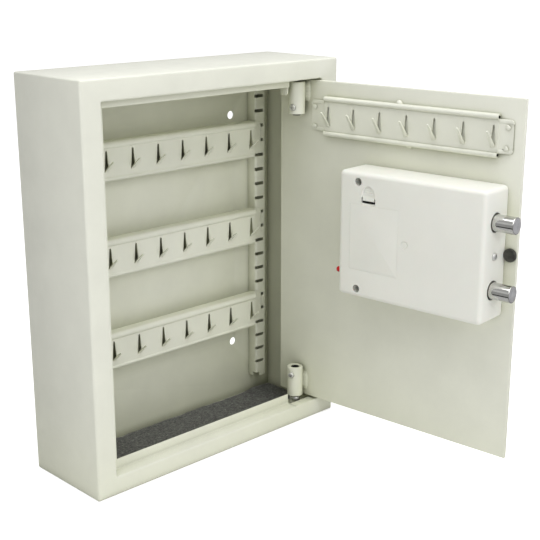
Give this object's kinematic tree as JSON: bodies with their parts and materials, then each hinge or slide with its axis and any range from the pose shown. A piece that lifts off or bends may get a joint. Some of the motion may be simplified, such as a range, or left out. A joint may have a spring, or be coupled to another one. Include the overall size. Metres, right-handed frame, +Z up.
{
  "type": "wall key cabinet",
  "caption": "Sheet-steel wall key cabinet with adjustable hook bars, felt floor, and a hinged door carrying a hook bar, an electronic lock case with twin bolts, knob, keypad and override lock.",
  "frame": {"origin": "centre of the back panel's outer face, which stands against the wall", "axes": "+X to the right seen from the front, +Y out of the back into the wall, +Z up; at rest the door stands 95 degrees open on its right-hand hinge"},
  "size_m": [0.3161, 0.325, 0.365],
  "materials": {
    "powder_coat": "smooth cream-white powder coat, satin",
    "felt": "speckled dark grey needle felt",
    "case_plastic": "off-white moulded plastic, fine texture",
    "chrome": "polished chrome plate",
    "zinc_steel": "bright zinc plate",
    "rubber": "matt black",
    "red_plastic": "glossy red",
    "dark_plastic": "fine matt texture",
    "key_plastic": "grey, slightly soft",
    "lens": "dark red translucent lens",
    "board": "green solder mask",
    "copper": "varnished copper winding under tape",
    "cell_wrap": "plain shrink wrap",
    "brass": "turned brass"
  },
  "bodies": {
    "cabinet": {"cabinet_shell": "powder_coat", "back_panel": "powder_coat", "standard_left": "powder_coat", "standard_right": "powder_coat", "hook_bar_top": "powder_coat", "hook_bar_middle": "powder_coat", "hook_bar_bottom": "powder_coat", "felt_mat": "felt", "hinge_bracket_top": "powder_coat", "hinge_bracket_bottom": "powder_coat"},
    "door": {"door_panel": "powder_coat", "hinge_tube_top": "powder_coat", "hinge_tube_bottom": "powder_coat", "hinge_pin_top": "zinc_steel", "hinge_pin_bottom": "zinc_steel", "hinge_set_screw_top": "chrome", "hinge_set_screw_bottom": "chrome", "door_hook_bar": "powder_coat", "rubber_buffer": "rubber", "lock_base_plate": "zinc_steel", "lock_case": "case_plastic", "case_screw_upper": "zinc_steel", "case_screw_lower": "zinc_steel", "case_side_screw": "chrome", "bolt_guide": "zinc_steel", "battery_holder": "dark_plastic", "battery_cell_1": "cell_wrap", "battery_cell_2": "cell_wrap", "battery_cell_3": "cell_wrap", "battery_cell_4": "cell_wrap", "circuit_board": "board", "solenoid_frame": "zinc_steel", "solenoid_coil": "copper", "plunger_spring": "zinc_steel", "keypad_housing": "dark_plastic", "indicator_window": "lens", "override_cylinder": "brass", "keypad_cable": "rubber"},
    "bolts": {"bolt_carriage": "zinc_steel", "bolt_upper": "chrome", "bolt_lower": "chrome"},
    "knob_set": {"knob": "dark_plastic", "knob_spindle": "zinc_steel"},
    "plunger": {"solenoid_plunger": "zinc_steel"},
    "reset": {"reset_button": "red_plastic"},
    "battery_lid": {"battery_cover": "case_plastic"},
    "override_key_plug": {"override_plug": "brass"},
    "override_lid": {"override_cover": "dark_plastic"},
    "key_1_body": {"key_1": "key_plastic"},
    "key_2_body": {"key_2": "key_plastic"},
    "key_3_body": {"key_3": "key_plastic"},
    "key_4_body": {"key_4": "key_plastic"},
    "key_5_body": {"key_5": "key_plastic"},
    "key_6_body": {"key_6": "key_plastic"},
    "key_7_body": {"key_7": "key_plastic"},
    "key_8_body": {"key_8": "key_plastic"},
    "key_9_body": {"key_9": "key_plastic"},
    "key_star_body": {"key_star": "key_plastic"},
    "key_0_body": {"key_0": "key_plastic"},
    "key_hash_body": {"key_hash": "key_plastic"}
  },
  "joints": [
    {"name": "door_hinge", "type": "hinge", "parent": "cabinet", "child": "door", "pos_m": [0.112, -0.078, 0], "axis": [0, 0, 1], "range_deg": [-95, 2]},
    {"name": "knob_turn", "type": "hinge", "parent": "door", "child": "knob_set", "pos_m": [0.13378, -0.22366, 0.029], "axis": [0.9962, 0.0872, 0], "range_deg": [-76, 0]},
    {"name": "bolt_slide", "type": "slide", "parent": "door", "child": "bolts", "axis": [0.0872, -0.9962, 0], "range_m": [-0.016, 0]},
    {"name": "plunger_slide", "type": "slide", "parent": "door", "child": "plunger", "axis": [0, 0, -1], "range_m": [0, 0.004], "deforming": ["plunger_spring"]},
    {"name": "reset_press", "type": "slide", "parent": "door", "child": "reset", "axis": [0.0872, -0.9962, 0], "range_m": [0, 0.002], "stiffness_N_per_m": 300},
    {"name": "battery_cover_tilt", "type": "hinge", "parent": "door", "child": "battery_lid", "pos_m": [0.09465, -0.19295, -0.00265], "axis": [0.0872, -0.9962, 0], "range_deg": [0, 60]},
    {"name": "override_plug_turn", "type": "hinge", "parent": "door", "child": "override_key_plug", "pos_m": [0.13038, -0.1848, 0.029], "axis": [-0.9962, -0.0872, 0], "range_deg": [0, 90]},
    {"name": "override_cover_swing", "type": "hinge", "parent": "door", "child": "override_lid", "pos_m": [0.13038, -0.1848, 0.0465], "axis": [0.9962, 0.0872, 0], "range_deg": [0, 100]},
    {"name": "key_1_press", "type": "slide", "parent": "door", "child": "key_1_body", "axis": [-0.9962, -0.0872, 0], "range_m": [0, 0.0012], "stiffness_N_per_m": 400},
    {"name": "key_2_press", "type": "slide", "parent": "door", "child": "key_2_body", "axis": [-0.9962, -0.0872, 0], "range_m": [0, 0.0012], "stiffness_N_per_m": 400},
    {"name": "key_3_press", "type": "slide", "parent": "door", "child": "key_3_body", "axis": [-0.9962, -0.0872, 0], "range_m": [0, 0.0012], "stiffness_N_per_m": 400},
    {"name": "key_4_press", "type": "slide", "parent": "door", "child": "key_4_body", "axis": [-0.9962, -0.0872, 0], "range_m": [0, 0.0012], "stiffness_N_per_m": 400},
    {"name": "key_5_press", "type": "slide", "parent": "door", "child": "key_5_body", "axis": [-0.9962, -0.0872, 0], "range_m": [0, 0.0012], "stiffness_N_per_m": 400},
    {"name": "key_6_press", "type": "slide", "parent": "door", "child": "key_6_body", "axis": [-0.9962, -0.0872, 0], "range_m": [0, 0.0012], "stiffness_N_per_m": 400},
    {"name": "key_7_press", "type": "slide", "parent": "door", "child": "key_7_body", "axis": [-0.9962, -0.0872, 0], "range_m": [0, 0.0012], "stiffness_N_per_m": 400},
    {"name": "key_8_press", "type": "slide", "parent": "door", "child": "key_8_body", "axis": [-0.9962, -0.0872, 0], "range_m": [0, 0.0012], "stiffness_N_per_m": 400},
    {"name": "key_9_press", "type": "slide", "parent": "door", "child": "key_9_body", "axis": [-0.9962, -0.0872, 0], "range_m": [0, 0.0012], "stiffness_N_per_m": 400},
    {"name": "key_star_press", "type": "slide", "parent": "door", "child": "key_star_body", "axis": [-0.9962, -0.0872, 0], "range_m": [0, 0.0012], "stiffness_N_per_m": 400},
    {"name": "key_0_press", "type": "slide", "parent": "door", "child": "key_0_body", "axis": [-0.9962, -0.0872, 0], "range_m": [0, 0.0012], "stiffness_N_per_m": 400},
    {"name": "key_hash_press", "type": "slide", "parent": "door", "child": "key_hash_body", "axis": [-0.9962, -0.0872, 0], "range_m": [0, 0.0012], "stiffness_N_per_m": 400}
  ],
  "couplings": [
    {"joint": "knob_turn", "follows": "bolt_slide", "rad_per_m": 82.866}
  ]
}
